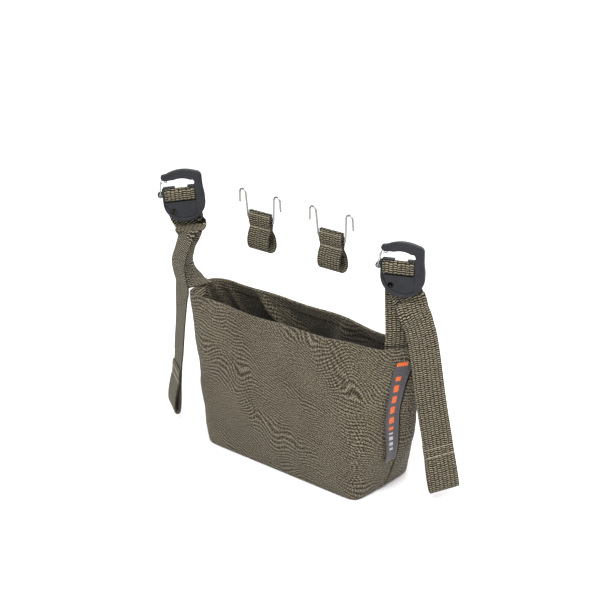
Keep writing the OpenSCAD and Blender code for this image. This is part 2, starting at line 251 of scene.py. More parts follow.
def painted_lining_shade(paint, u, v):
    """How much painted shade the inside gets: it darkens with depth, and more in slanting hollows."""
    start = pouch_height + rim_edge
    depth = paint.clamp(paint.times(v, 1 / lining_fade, -start / lining_fade))
    slant = paint.times(v, 0.030, paint.times(u, 0.075))
    hollow = paint.noise(paint.join(slant, paint.times(v, 0.012)), 1.0, 1)
    hollow = paint.clamp(paint.times(hollow, 7.0, -3.1))
    shade = paint.times(paint.times(hollow, 0.45, 0.55), depth)
    inside = paint.math("GREATER_THAN", v, start)
    return paint.times(inside, 0.22, paint.times(shade, 0.75))


def cloth_material(name, dark, middle, light):
    """Plain-woven cloth whose yarns run in swirling ripples, with painted shade on the end seams and inside
    the pouch.

    The unwrapping is in millimetres: u runs round the pouch, v up its outside and down its inside.
    """
    paint = Paint(name)
    u, v = paint.uv()
    place = paint.join(u, v)
    yarns = cloth_yarns(paint, u, v, place)
    speck = paint.noise(place, 0.85, 1, 0.6)
    patches = paint.noise(place, 0.03, 3)
    tone = paint.times(yarns, 0.70, paint.times(speck, 2.6, -0.86))
    tone = paint.times(paint.math("SUBTRACT", patches, 0.5), 0.30, tone)
    colour = paint.ramp(tone, ((0.05, linear(dark)), (0.5, linear(middle)), (0.98, linear(light))))
    line = seam_groove_and_shade(paint, u, v)
    # painted shade: near-black mixed over the end seams' grooves
    colour = paint.mix(paint.times(line, 0.92), colour, (0.002, 0.0016, 0.001, 1))
    # painted shade inside the pouch: darker with depth and in slanting hollows of the lining
    colour = paint.mix(painted_lining_shade(paint, u, v), colour, (0.006, 0.005, 0.003, 1))
    relief = paint.times(line, -3.0, paint.math("ADD", yarns, speck))
    return paint.finish(
        colour, 0.95, relief, 0.16, Sheen_Weight=0.08, Sheen_Roughness=0.5, Specular_IOR_Level=0.12
    )


def webbing_material(name, gap, yarn, shine):
    """Coarse webbing: bright short yarns in rows, each lane a little out of step with the next."""
    paint = Paint(name)
    u, v = paint.uv()
    place = paint.join(u, v)
    wobble = paint.noise(place, 0.35, 2)
    lane = paint.times(wobble, 0.5, paint.times(u, 1 / lane_pitch))
    step = paint.math("FLOOR", paint.math("FLOORED_MODULO", lane, 2.0))
    step = paint.times(step, lane_stagger)
    row = paint.times(wobble, 0.9, paint.times(v, 1 / row_pitch))
    ridge = paint.wave(paint.math("ADD", row, step), 1)
    ridge = paint.times(ridge, 0.5, 0.5)
    edge = paint.math("ABSOLUTE", paint.math("SUBTRACT", paint.math("FRACT", lane), 0.5))
    edge = paint.math("MINIMUM", paint.times(edge, -2.6, 1.8), 1.0)
    yarns = paint.times(ridge, edge)
    grain = paint.noise(paint.join(u, paint.times(v, 1.6)), 0.85, 3, 0.65)
    tone = paint.times(grain, 1.5, paint.times(yarns, 1.05, -0.90))
    colour = paint.ramp(tone, ((0.1, linear(gap)), (0.5, linear(yarn)), (0.95, linear(shine))))
    return paint.finish(colour, 0.82, yarns, 0.30, Sheen_Weight=0.05, Specular_IOR_Level=0.2)


def thread_material(name, dark, light):
    paint = Paint(name)
    grain = paint.noise(object_place(paint), 2.5, 2)
    colour = paint.ramp(grain, ((0.3, linear(dark)), (0.7, linear(light))))
    return paint.finish(colour, 0.7, grain, 0.1, Sheen_Weight=0.2)


def moulding_material(name):
    """Satin moulded nylon with a fine grain."""
    paint = Paint(name)
    place = object_place(paint)
    grain = paint.noise(place, 3.5, 3, 0.6)
    patches = paint.noise(place, 0.12, 2)
    tone = paint.times(patches, 0.5, paint.times(grain, 0.5))
    colour = paint.ramp(tone, ((0.3, linear((13, 14, 17))), (0.7, linear((32, 33, 38)))))
    roughness = paint.times(grain, 0.25, 0.36)
    return paint.finish(colour, roughness, grain, 0.08, Specular_IOR_Level=0.28)


def wire_material(name):
    """Bright drawn steel, faintly mottled."""
    paint = Paint(name)
    marks = paint.noise(object_place(paint), 1.2, 4, 0.7)
    colour = paint.ramp(marks, ((0.3, linear((118, 118, 116))), (0.7, linear((172, 172, 169)))))
    roughness = paint.times(marks, 0.15, 0.18)
    return paint.finish(colour, roughness, marks, 0.02, Metallic=1.0)


def label_material(name, length):
    """Fine woven label with plain coloured bars; v runs up the label in millimetres."""
    paint = Paint(name)
    u, v = paint.uv()

    def between(value, low, high):
        above = paint.math("GREATER_THAN", value, low)
        return paint.times(above, paint.math("LESS_THAN", value, high))

    def bars(first, last, pitch, share, left, right):
        run = paint.math("FRACT", paint.times(v, 1 / pitch))
        within = between(v, length * first, length * last)
        on = paint.times(paint.math("LESS_THAN", run, share), within)
        return paint.times(on, between(u, left, right))

    weft = paint.wave(v, weft_pitch)
    grain = paint.noise(paint.join(u, v), 1.2, 3)
    orange = (*linear((196, 84, 8)), 1)
    white = (*linear((162, 162, 166)), 1)
    colour = paint.ramp(grain, ((0.3, linear((38, 32, 36))), (0.7, linear((66, 59, 64)))))
    colour = paint.mix(bars(0.34, 0.86, pitch=8.7, share=0.62, left=3.2, right=7.6), colour, orange)
    colour = paint.mix(bars(0.965, 1, pitch=30, share=1.0, left=1.0, right=9.5), colour, orange)
    colour = paint.mix(bars(0.13, 0.31, pitch=5.0, share=0.6, left=3.4, right=7.0), colour, white)
    return paint.finish(colour, 0.75, paint.math("ADD", weft, grain), 0.08, Sheen_Weight=0.2)


# -------- meshes from rings and paths


def make_mesh(name, points, faces, material, uvs=None):
    """A smooth mesh object from points in millimetres; uvs holds one pair for each face corner."""
    mesh = bpy.data.meshes.new(name)
    mesh.from_pydata([tuple(p * MM) for p in points], [], faces)
    if uvs is not None:
        layer = mesh.uv_layers.new(name="UVMap")
        flat = [pair for face in uvs for pair in face]
        for loop, pair in zip(layer.data, flat):
            loop.uv = pair
    mesh.shade_smooth()
    mesh.materials.append(material)
    return add_object(name, mesh)


def vectors(*points):
    return [Vector(p) for p in points]


def lerp(a, b, t):
    return a + (b - a) * t


def catmull(a, b, c, d, t):
    return 0.5 * (2 * b + (c - a) * t + (2 * a - 5 * b + 4 * c - d) * t**2 + (3 * b - a - 3 * c + d) * t**3)


def spline(points, steps):
    """A smooth curve through the points, with this many steps between each two."""
    ends = [2 * points[0] - points[1], *points, 2 * points[-1] - points[-2]]
    made = []
    for i in range(1, len(ends) - 2):
        made += [catmull(*ends[i - 1 : i + 3], k / steps) for k in range(steps)]
    return made + [points[-1]]


def tangents(path):
    last = len(path) - 1
    return [(path[min(i + 1, last)] - path[max(i - 1, 0)]).normalized() for i in range(len(path))]


def arc(centre, radius, start, end, steps):
    """Points on a flat circle, from one angle to another in degrees."""
    angles = [math.radians(lerp(start, end, i / steps)) for i in range(steps + 1)]
    return [Vector(centre) + radius * Vector((math.cos(a), math.sin(a))) for a in angles]


def grid_corners(rings, columns, flip=False):
    """The corners of each face between rings of points, as pairs of ring and column."""
    order = (0, 3, 2, 1) if flip else (0, 1, 2, 3)
    made = []
    for i in range(rings - 1):
        for j in range(columns):
            square = ((i, j), (i, j + 1), (i + 1, j + 1), (i + 1, j))
            made.append([square[n] for n in order])
    return made


def grid_faces(corners, span, first=0):
    """Faces by the numbers of their points; a ring holds a span of them."""
    return [tuple(first + i * span + j % span for i, j in face) for face in corners]


def grid_uvs(corners, across, along):
    return [tuple((across[j], along[i]) for i, j in face) for face in corners]


def cap_faces(rings, span, flip=False):
    first, last = range(span), range((rings - 1) * span, rings * span)
    if flip:
        return [tuple(first), tuple(reversed(last))]
    return [tuple(reversed(first)), tuple(last)]


def tube(name, path, radius, reference, material, sides=16):
    """Round wire along a path, with rounded ends."""
    runs = tangents(path)
    points = []
    tip_reach, tip_size = 0.6 * radius, 0.55 * radius
    rings = [(path[0] - tip_reach * runs[0], runs[0], tip_size)]
    rings += [(p, t, radius) for p, t in zip(path, runs)]
    rings += [(path[-1] + tip_reach * runs[-1], runs[-1], tip_size)]
    for place, run, size in rings:
        side = (reference - reference.dot(run) * run).normalized()
        other = run.cross(side)
        for j in range(sides):
            a = 2 * math.pi * j / sides
            points.append(place + size * (math.cos(a) * side + math.sin(a) * other))
    faces = grid_faces(grid_corners(len(rings), sides), sides)
    return make_mesh(name, points, faces + cap_faces(len(rings), sides), material)


def select_only(objects):
    bpy.ops.object.select_all(action="DESELECT")
    for obj in objects:
        obj.select_set(True)
    bpy.context.view_layer.objects.active = objects[0]


def join_objects(name, objects):
    """One object from several, so that it rides and hides as one piece."""
    select_only(objects)
    bpy.ops.object.join()
    objects[0].name = name
    objects[0].data.name = name
    return objects[0]


# -------- webbing

web_width = 24.6
web_thickness = 1.4
web_columns = 10
fold_gap = 0.1
lap = web_thickness + fold_gap
stitch_count = 9
stitch_margin = 0.6


class Station:
    """A place on a strip of webbing: its centre and the direction of its width."""

    def __init__(self, centre, across):
        self.centre = Vector(centre)
        self.across = Vector(across)

    def __add__(self, other):
        return Station(self.centre + other.centre, self.across + other.across)

    def __sub__(self, other):
        return Station(self.centre - other.centre, self.across - other.across)

    def __mul__(self, factor):
        return Station(self.centre * factor, self.across * factor)

    __rmul__ = __mul__


def yaw_direction(yaw):
    return Vector((math.cos(math.radians(yaw)), math.sin(math.radians(yaw)), 0))


def free_station(x, y, z, yaw):
    return Station((x, y, z), yaw_direction(yaw))


def web_section():
    """The rounded outline of the webbing's section."""
    half, edge = web_width / 2, web_thickness / 2
    flat = half - edge
    top = [(lerp(flat, -flat, i / web_columns), edge) for i in range(web_columns + 1)]
    corner = [math.pi * i / 4 for i in (1, 2, 3)]
    turn = [(-flat - edge * math.sin(a), edge * math.cos(a)) for a in corner]
    upper = top + turn
    return upper + [(-x, -y) for x, y in upper]


def ribbon(name, stations, material, start=0.0):
    """Webbing swept along close stations; its unwrapping is in millimetres, across and along."""
    section = web_section()
    count = len(section)
    runs = tangents([s.centre for s in stations])
    points, lengths, travelled = [], [], start
    for i, (station, run) in enumerate(zip(stations, runs)):
        if i:
            travelled += (station.centre - stations[i - 1].centre).length
        lengths.append(travelled)
        across = (station.across - station.across.dot(run) * run).normalized()
        normal = run.cross(across)
        points += [station.centre + x * across + y * normal for x, y in section]
    corners = grid_corners(len(stations), count, flip=True)
    faces = grid_faces(corners, count)
    uvs = grid_uvs(corners, [x for x, y in section + section[:1]], lengths)
    for cap, length in zip(cap_faces(len(stations), count, flip=True), (lengths[0], lengths[-1])):
        faces.append(cap)
        uvs.append([(section[n % count][0], length + section[n % count][1]) for n in cap])
    return make_mesh(name, points, faces, material, uvs)


def thread_row(name, start, end, normal, material, radius=0.4, share=0.66):
    """A row of short threads that bow over the cloth and go back in."""
    step = (end - start) / stitch_count
    made = []
    for i in range(stitch_count):
        middle = i + 0.5
        a = start + (middle - share / 2) * step
        b = start + (middle + share / 2) * step
        run = b - a
        first = a - 0.12 * run - 0.35 * normal
        last = b + 0.12 * run - 0.35 * normal
        path = [first, a + 0.05 * normal, (a + b) / 2 + 0.12 * normal, b + 0.05 * normal, last]
        made.append(tube(name, spline(path, 2), radius, normal.cross(run).normalized(), material, 6))
    return join_objects(name, made)


# -------- gate hooks and their webbing

# The middle of each hook's upper bar, and its yaw and roll in degrees
bar_turn = {"left": (45, -5), "right": (24, 0)}
bar_middle = {"left": Vector((-119.7, -18, 204.5)), "right": Vector((93, -3, 191.5))}
frame_thickness = 4.4
slot_width = 25.4
bar_half_height = 4.0
bar_radius = 1.4
upper_bar_thickness = 2.6
wrap_radius = bar_radius + fold_gap + web_thickness / 2
ring_middle = (3, -6.6)
ring_outer = 17.2
ring_inner = 14.2
lower_plate_thickness = 2.4
lower_plate_top, lower_plate_foot = -6.3, -9
eye_place, eye_radius = (-6.2, -14.6), 2.3
boss_place, boss_radius = (-15.6, 0.8), 2.4
tab_low, tab_high, tab_left, tab_right = 5.7, 6.9, -3.2, 6.7
gate_leg, gate_wire_radius = 3.1, 0.48
pivot_radius, pivot_wire_radius = 1.15, 0.3

# Where each strap is sewn to the rim, and the yaw of its width
root_at = {"left": Vector((-103.8, -13.8, 126)), "right": Vector((95, -1.7, 126))}
root_yaw = {"left": 105, "right": 50}
root_tilt = {"left": Vector((0, 0, 0.2)), "right": Vector((0, 0, 0))}
tack_rows = (3.0, 5.5, 8.0)
tack_reach = 11
# Stations of the webbing: x, y and z, and the yaw of its width
riser_route = {
    "left": (
        (-113.2, -11.2, 132, 112), (-122, -7.8, 138, 116), (-123, -7, 146, 113), (-124, -5, 154, 106),
        (-124.6, -2.5, 161.5, 90), (-125.8, -1.5, 169, 66), (-125.2, -3, 179, 58),
    ),
    "right": ((95, -1, 140, 47), (91.5, 2.8, 156, 36), (89.3, 4.6, 170, 27)),
}
# Stations by the gate hook: up and out of it, then across, up, out and turn
riser_top = ((-12, -6), (-6.5, -5.6), (-2.6, -3.2), (-0.7, -wrap_radius))
lead_route = {
    "left": ((0, -11, -3.5, 0), (0, -14, -3.5, 0), (1.2, -19, -6.4, -3), (5.2, -26.5, -3.8, -18)),
    "right": ((0, -11, -3.5, 0), (0, -14, -3.5, 0), (3, -18, -3.7, 2), (7, -24.8, -3.8, 12)),
}
tail_route = {
    "left": (
        (-110.3, -19.5, 174, -15), (-112, -23, 164.5, -22), (-114, -25, 155, -23), (-116, -25.6, 146, -21),
        (-114.8, -25.2, 137, -20), (-114.9, -23, 127.5, -22), (-117, -21.8, 117.5, -24),
        (-119, -21.8, 94.5, -29), (-121.8, -22, 66, -30), (-123.4, -22, 49, -32),
    ),
    "right": (
        (104.5, 2, 156, 52), (107.5, 4, 147, 60), (112, 5.5, 129, 60), (118.5, 8, 84, 57), (125, 10, 47, 57),
    ),
}
# The finger loop at the end of each strap, folded up over its face
fold_side = {"left": 1, "right": -1}
loop_length = 37
loop_belly = {"left": 2.5, "right": 3}
stitch_gap = 7.5
raw_end = 11


class Hook:
    """The axes of one gate hook: across it, up it and out of its front."""

    def __init__(self, side):
        yaw, roll = bar_turn[side]
        flat = yaw_direction(yaw)
        lean = math.radians(roll)
        self.yaw = yaw
        self.middle = bar_middle[side]
        self.across = math.cos(lean) * flat - math.sin(lean) * Vector((0, 0, 1))
        self.up = math.sin(lean) * flat + math.cos(lean) * Vector((0, 0, 1))
        self.out = Vector((flat.y, -flat.x, 0))

    def at(self, across, up, out):
        return self.middle + across * self.across + up * self.up + out * self.out

    def station(self, across, up, out, turn=0):
        width = self.across if turn == 0 else yaw_direction(self.yaw + turn)
        return Station(self.at(across, up, out), width)


hooks = {side: Hook(side) for side in SIDES}


def build_riser(side, material):
    """The strap from the rim up behind its gate hook."""
    hook = hooks[side]
    foot_place = root_at[side] + Vector((0, 0, 1.3))
    foot = Station(foot_place, yaw_direction(root_yaw[side]) + root_tilt[side])
    route = [foot] + [free_station(*q) for q in riser_route[side]]
    route += [hook.station(0, up, out) for up, out in riser_top]
    riser = ribbon(side + "_riser_webbing", spline(route, 8), material)
    tuple(hook.at(0, -14, -6) * MM)
    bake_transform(riser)
    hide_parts(side + "_riser")


def wrap_stations(hook):
    """Webbing over the upper bar from behind, down its front and back through the slot."""
    turn = bar_half_height - bar_radius
    bend = 1.6
    slot_up = -turn - wrap_radius
    path = [Vector((-wrap_radius, -0.6))]
    path += arc((0, turn), wrap_radius, 180, 0, 16)
    path += arc((0, -turn), wrap_radius, 0, -90, 10)
    path += arc((-1.9, slot_up - bend), bend, 90, 180, 8)[1:]
    return [hook.station(0, up, out) for out, up in path]


def tail_seam_axes(side):
    """Where the finger loop begins, and the directions down, across and out of it."""
    seam = free_station(*tail_route[side][-1])
    fall = (seam.centre - Vector(tail_route[side][-2][:3])).normalized()
    across = (seam.across - seam.across.dot(fall) * fall).normalized()
    outward = fold_side[side] * fall.cross(across)
    return seam.centre, fall, across, outward


def fold_stations(side):
    """The folded end: down the strap, round the open loop and back up its face."""
    origin, fall, across, outward = tail_seam_axes(side)
    belly = loop_belly[side]
    tip = loop_length - 1.6
    profile = (
        (0, 0), (stitch_gap, 0), (loop_length * 0.35, -belly * 0.1), (loop_length * 0.7, -belly * 0.3),
        (tip, -belly * 0.1), (loop_length, (belly + lap) * 0.4), (tip, belly * 0.8 + lap),
        (loop_length * 0.7, belly + lap), (loop_length * 0.35, belly * 0.4 + lap),
        (stitch_gap, lap), (0, lap), (stitch_gap - raw_end, lap),
    )
    return [Station(origin + down * fall + out * outward, across) for down, out in profile]


def build_free_end(side, material, thread):
    """The webbing round the upper bar, down behind the hook and on to the finger loop."""
    hook = hooks[side]
    lead = [hook.station(*q) for q in lead_route[side]]
    origin, fall, across = tail_seam_axes(side)[:3]
    run = (lead[-1].centre - lead[-2].centre).normalized()
    start = [Station(lead[-1].centre + 3 * run, lead[-1].across)]
    route = lead + start + [free_station(*q) for q in tail_route[side][:-1]]
    route += [Station(origin - back * fall, across) for back in (12, 6)]
    route += fold_stations(side)
    webbing = ribbon(side + "_free_webbing", wrap_stations(hook) + spline(route, 8), material, start=5.0)
    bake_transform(webbing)
    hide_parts(side + "_bar_wrap", side + "_tail_lead", side + "_tail")
    build_loop_stitches(side, thread)


def build_loop_stitches(side, thread):
    """Two stitch rows across the finger loop, on both faces."""
    origin, fall, across, outward = tail_seam_axes(side)
    rows = []
    reach = (web_width / 2 - stitch_margin) * across
    for down in (0.6, stitch_gap):
        for face, height in ((-1, web_thickness / 2), (1, lap + web_thickness / 2)):
            middle = origin + down * fall + face * height * outward
            ends = (middle - reach, middle + reach)
            rows.append(thread_row(side + "_loop_stitches", *ends, face * outward, thread))
    stitches = join_objects(side + "_loop_stitches", rows)
    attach(stitches, side + "_free_end")
    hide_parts(side + "_tail_stitches")


def build_root(side, material, thread):
    """The strap's end inside the rim, with the rows that hold it."""
    across = yaw_direction(root_yaw[side])
    top = root_at[side]
    stations = [Station(top + Vector((0, 0, 0.5)), across + root_tilt[side])]
    stations += [Station(top + Vector((0, 0, -z)), across) for z in (3, 6, 9, 11.5)]
    root = ribbon(side + "_root_webbing", stations, material)
    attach(root, "pouch")
    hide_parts(side + "_strap_root")
    normal = across.cross(Vector((0, 0, -1)))
    normal *= math.copysign(1, -normal.dot(Vector((top.x, top.y, 0))))
    rows = []
    for down in tack_rows:
        middle = top - Vector((0, 0, down)) + normal * web_thickness / 2
        ends = (middle - tack_reach * across, middle + tack_reach * across)
        rows.append(thread_row(side + "_bar_tack", *ends, normal, thread))
    tack = join_objects(side + "_bar_tack", rows)
    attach(tack, "pouch")
    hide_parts(side + "_bartack")


def hook_outline():
    """The flat outline of a gate hook's frame, across by up."""
    half = slot_width / 2 - 0.45
    left = -half - 1.9
    outline = arc((-11.3, 15.2), 2.6, 200, 125, 8)
    outline += arc((3.4, -8), 28.8, 116, 70, 16)
    outline += arc((14.4, 13.6), 4.9, 62, 0, 8)
    outline += vectors((19.3, 6), (20.2, -2))
    outline += arc(ring_middle, ring_outer, 0, -180, 40)
    outline += vectors((left, -2.2), (left, tab_low - 0.6), (-half + 0.2, tab_high))
    outline += vectors((tab_left, tab_high), (tab_left, tab_low), (-half, tab_low), (-half, -9))
    low = math.degrees(math.acos((-half - ring_middle[0] + 1.8) / ring_inner))
    high = math.degrees(math.acos((half - ring_middle[0]) / ring_inner))
    outline += arc(ring_middle, ring_inner, -low, -high, 30)
    outline += vectors((half, -4), (half, tab_low), (tab_right, tab_low), (tab_right, tab_high))
    outline += vectors((half - 0.1, tab_high))
    outline += arc((9.6, 8.9), 3.1, -10, 55, 6)
    outline += arc((1.5, -3.6), 17, 62, 108, 12)
    return outline + vectors((-6.8, 12.6), (-11.4, 12.2), (-12.6, 13.2))


def lower_outline():
    """The recessed plate that closes the ring below the slot."""
    reach = slot_width / 2 + 0.6
    radius = ring_inner + 0.8
    low = math.degrees(math.acos((reach - ring_middle[0]) / radius))
    outline = vectors((-reach, lower_plate_top), (reach, lower_plate_top), (reach, lower_plate_foot))
    outline += arc(ring_middle, radius, -low, -170, 24)
    return outline + vectors((-reach + 1.2, lower_plate_foot))


def plate(name, outline, thickness, bevel, material, turn, holes=()):
    """A flat outline given thickness and rounded edges, placed by a matrix in metres."""
    curve = bpy.data.curves.new(name, "CURVE")
    curve.dimensions = "2D"
    curve.fill_mode = "BOTH"
    curve.extrude = (thickness / 2 - bevel) * MM
    curve.bevel_depth = bevel * MM
    curve.bevel_resolution = 3
    curve.offset = -bevel * MM
    for path in (outline, *holes):
        line = curve.splines.new("POLY")
        line.points.add(len(path) - 1)
        for point, place in zip(line.points, path):
            point.co = (place.x * MM, place.y * MM, 0, 1)
        line.use_cyclic_u = True
    flat = add_object(name, curve)
    depsgraph = bpy.context.evaluated_depsgraph_get()
    mesh = bpy.data.meshes.new_from_object(flat.evaluated_get(depsgraph))
    bpy.data.objects.remove(flat)
    mesh.transform(turn)
    mesh.materials.clear()
    mesh.materials.append(material)
    obj = add_object(name, mesh)
    select_only([obj])
    bpy.ops.object.shade_smooth_by_angle(angle=math.radians(40))
    return obj


def rounded_box(corner_low, corner_high, radius):
    (x0, y0), (x1, y1) = corner_low, corner_high
    mid_x, mid_y = (x0 + x1) / 2, (y0 + y1) / 2
    outline = []
    for (cx, cy), a in (((x1, y1), 90), ((x1, y0), 0), ((x0, y0), -90), ((x0, y1), -180)):
        place = (cx - math.copysign(radius, cx - mid_x), cy - math.copysign(radius, cy - mid_y))
        outline += arc(place, radius, a, a - 90, 4)
    return outline


def hook_matrix(hook):
    """From a flat outline's x, y and z to a hook's across, up and out, in metres."""
    turn = Matrix((hook.across, hook.up, hook.out)).transposed().to_4x4()
    turn.translation = hook.middle * MM
    return turn


def build_gate_hook(side, material):
    """Frame and open hook in one, upper bar, recessed lower plate and the gate's boss."""
    turn = hook_matrix(hooks[side])
    reach = slot_width / 2 + 0.8
    bar = rounded_box((-reach, -bar_half_height), (reach, bar_half_height), 1)
    eye = arc(eye_place, eye_radius, 0, -342, 18)
    boss = arc(boss_place, boss_radius, 0, -345, 22)
    made = [
        plate("frame", hook_outline(), frame_thickness, 0.7, material, turn),
        plate("upper_bar", bar, upper_bar_thickness, 0.9, material, turn),
        plate("lower_plate", lower_outline(), lower_plate_thickness, 0.4, material, turn, [eye]),
        plate("boss", boss, frame_thickness, 0.5, material, turn),
    ]
    body = join_objects(side + "_gate_hook_body", made)
    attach(body, side + "_adjuster")
    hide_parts(side + "_gate_hook")


def build_gate(side, material):
    """The sprung wire: two legs from the boss to behind the hook's beak, and a ring at each pivot."""
    hook = hooks[side]
    bx, by = boss_place
    leg = gate_leg
    half = [
        (bx, by, leg - 1.6), (bx, by, leg - 0.5), (bx + 0.1, by + 0.7, leg), (bx + 0.5, by + 4, leg),
        (bx + 1.0, by + 8.6, leg), (bx + 2.2, by + 10.8, leg),
        (-11.0, 12.0, leg - 0.1), (-9.8, 11.5, leg - 1),
    ]
    route = vectors(*half, (-9.4, 11.4, 0), *[(x, y, -z) for x, y, z in reversed(half)])
    path = [hook.at(*p) for p in spline(route, 5)]
    made = [tube(side + "_gate_wire", path, gate_wire_radius, hook.across, material, 12)]
    turns = [2 * math.pi * i / 20 for i in range(19)]
    rim = [(bx + pivot_radius * math.cos(a), by + pivot_radius * math.sin(a)) for a in turns]
    for face in (-1, 1):
        out = face * (frame_thickness / 2 + 0.1)
        ring = [hook.at(across, up, out) for across, up in rim]
        made.append(tube(side + "_gate_wire", ring, pivot_wire_radius, hook.out, material, 8))
    gate = join_objects(side + "_gate_wire", made)
    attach(gate, side + "_gate")
    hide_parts(side + "_wire_gate")


# -------- loose wire hooks

wire_radius = 0.9
hook_height = 23.8
crook_radius = 2.5
leg_reach = web_width / 2 + 2.2
leg_splay = 1.6
crook_end = 11.4
flap_height = 7.6
hang_height = 25.4
hook_yaw, hook_roll = -3, -3
loop_rows = (4.9, -6.0)
loop_half_gap = 0.85


def wire_hook_matrix(side):
    """From a wire hook's own axes to the scene; its cross wire lies on the loop's hinge."""
    place = joint_place(side + "_web_loop_swing")
    turn = Matrix.Rotation(math.radians(hook_yaw), 4, "Z") @ Matrix.Rotation(math.radians(hook_roll), 4, "Y")
    turn.translation = place
    return turn


def build_wire_hook(side, material):
    """One wire: a cross wire, two splayed legs and a crook at the top of each."""
    radius = crook_radius + wire_radius
    top = hook_height - radius
    reach = leg_reach + leg_splay
    half = vectors((4, 0), (leg_reach - 2.6, 0), (leg_reach - 0.9, 0.35), (leg_reach, 1.9))
    half += [Vector((lerp(leg_reach, reach, t), top * t)) for t in (0.3, 0.6, 0.9)]
    half += arc((reach + radius, top), radius, 180, 0, 10)
    far = reach + 2 * radius
    half += vectors((far + 0.15, top - 4), (far + 0.3, hook_height - crook_end))
    route = [Vector((-p.x, 0, p.y)) for p in reversed(half)] + [Vector((p.x, 0, p.y)) for p in half]
    turn = wire_hook_matrix(side)
    path = [turn @ p for p in spline(route, 3)]
    wire = tube(side + "_bent_wire", path, wire_radius, turn.to_3x3() @ Vector((0, 1, 0)), material, 16)
    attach(wire, side + "_hook")
    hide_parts(side + "_wire_hook")


def build_hook_loop(side, material, thread):
    """Webbing folded over the cross wire and stitched above and below it."""
    turn = wire_hook_matrix(side)
    across = turn.to_3x3() @ Vector((1, 0, 0))
    half = [
        (0.78, flap_height), (0.78, 4.8), (1.65, 1.2), (1.65, -1.2), (0.85, -4.8), (1.0, -7),
        (3.4, -12), (4.6, -17.5), (4.2, -hang_height + 3.6), (2.4, -hang_height + 1.2),
    ]
    route = [Vector((0, -y, z)) for y, z in half] + [Vector((0, 0, -hang_height + 0.7))]
    route += [Vector((0, y, z)) for y, z in reversed(half)]
    stations = [Station(turn @ p, across) for p in spline(route, 5)]
    webbing = ribbon(side + "_loop_webbing", stations, material)
    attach(webbing, side + "_web_loop")
    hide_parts(side + "_hook_webbing")
    rows = []
    reach = web_width / 2 - stitch_margin
    for height in loop_rows:
        for face in (-1, 1):
            depth = face * (loop_half_gap + web_thickness / 2)
            ends = [turn @ Vector((x, depth, height)) for x in (-reach, reach)]
            normal = turn.to_3x3() @ Vector((0, face, 0))
            rows.append(thread_row(side + "_hook_loop_stitches", *ends, normal, thread))
    stitches = join_objects(side + "_hook_loop_stitches", rows)
    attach(stitches, side + "_web_loop")
    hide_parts(side + "_hook_stitches")


# -------- pouch
#
# On its wall, s is the share of the way round, from the left end seam past the front and the
# right end seam to the back, and t is the share of the way up.

base_length, base_depth, pouch_height = 160, 70, 126
pouch_girth = 470
cloth_thickness = 1.2
hem_height, hem_extra = 9, 0.9
lining_foot = 0.012
wave_from, wave_run = 0.8, 0.2
rim_front = [(-103.5, -28), (-95, -31), (45, -27), (72, -22), (89, -15)]
rim_back = [(107.5, 8.5), (94, 12), (62, 11.5), (30, 14.5), (-97, 16), (-107, 10), (-111, 0)]
pouch_columns = 400
pouch_rows = 90
floor_shares = (0.15, 0.4, 0.65, 0.85, 0.95)

# The end seams: the right one leans back by a low share at its foot, and a high one further up
seam_left, seam_right = Vector((-107.5, -13)), Vector((98, -4))
seam_low, seam_low_rate = 0.002, 5.0
seam_high, seam_high_from, seam_high_run, seam_high_power = 0.018, 0.55, 0.35, 1.3
seam_top = 0.93

# The cloth bows out most at this height, and by this much: more at the right end, less at the left
swell_height = 0.30
swell_most, swell_right, swell_left = 5.5, 4.0, -2.0
end_width = 0.07

# Swags in the cloth: twice the share round, height, slope, width and depth
swags = (
    (0.30, 0.62, -0.35, 0.050, 1.3),
    (0.55, 0.45, -0.30, 0.060, -1.2),
    (0.75, 0.70, 0.45, 0.055, 1.1),
    (0.62, 0.22, 0.25, 0.050, 0.9),
    (0.22, 0.30, 0.40, 0.055, -1.0),
    (0.88, 0.40, -0.2, 0.060, 0.8),
    (1.30, 0.55, 0.35, 0.060, 1.2),
    (1.62, 0.40, -0.35, 0.060, -1.1),
    (1.80, 0.65, 0.30, 0.055, 0.9),
)
# Upright tucks under the left end's rim: share round and depth
tucks = ((0.985, -1.4), (0.0, -1.1), (0.014, -1.3))
tuck_height, tuck_length, tuck_width = 0.86, 0.22, 0.006
# Folds of the lining: share round, height, lean, width, length and depth
inner_folds = (
    (0.955, 0.86, -0.06, 0.0075, 0.20, 5.0),
    (0.980, 0.86, -0.03, 0.006, 0.18, 4.5),
    (0.925, 0.84, -0.10, 0.008, 0.18, 3.5),
    (0.828, 0.84, -0.25, 0.011, 0.34, 10.0),
    (0.775, 0.72, -0.25, 0.013, 0.22, 6.0),
    (0.70, 0.80, 0.10, 0.015, 0.18, 4.0),
)

label_span = (0.25, 0.925)
label_length = (label_span[1] - label_span[0]) * pouch_height
label_width = 13.0
label_seam_gap = 0.0012
label_curl, label_ripple = 2.6, 0.35
label_columns, label_rows = 6, 40


def corner_cut(points, rounds=3):
    """A closed line with its corners cut back until they are round."""
    for _ in range(rounds):
        cut = []
        for a, b in zip(points, points[1:] + points[:1]):
            back = min(0.25, 5 / max((b - a).length, 0.1))
            cut += [lerp(a, b, back), lerp(a, b, 1 - back)]
        points = cut
    return points


def resample(points, count):
    """Points an even distance apart along an open line."""
    reached = [0.0]
    for a, b in zip(points, points[1:]):
        reached.append(reached[-1] + (b - a).length)
    made, i = [], 0
    for k in range(count + 1):
        want = reached[-1] * k / count
        while i < len(points) - 2 and reached[i + 1] < want:
            i += 1
        span = max(reached[i + 1] - reached[i], 1e-9)
        made.append(lerp(points[i], points[i + 1], (want - reached[i]) / span))
    return made


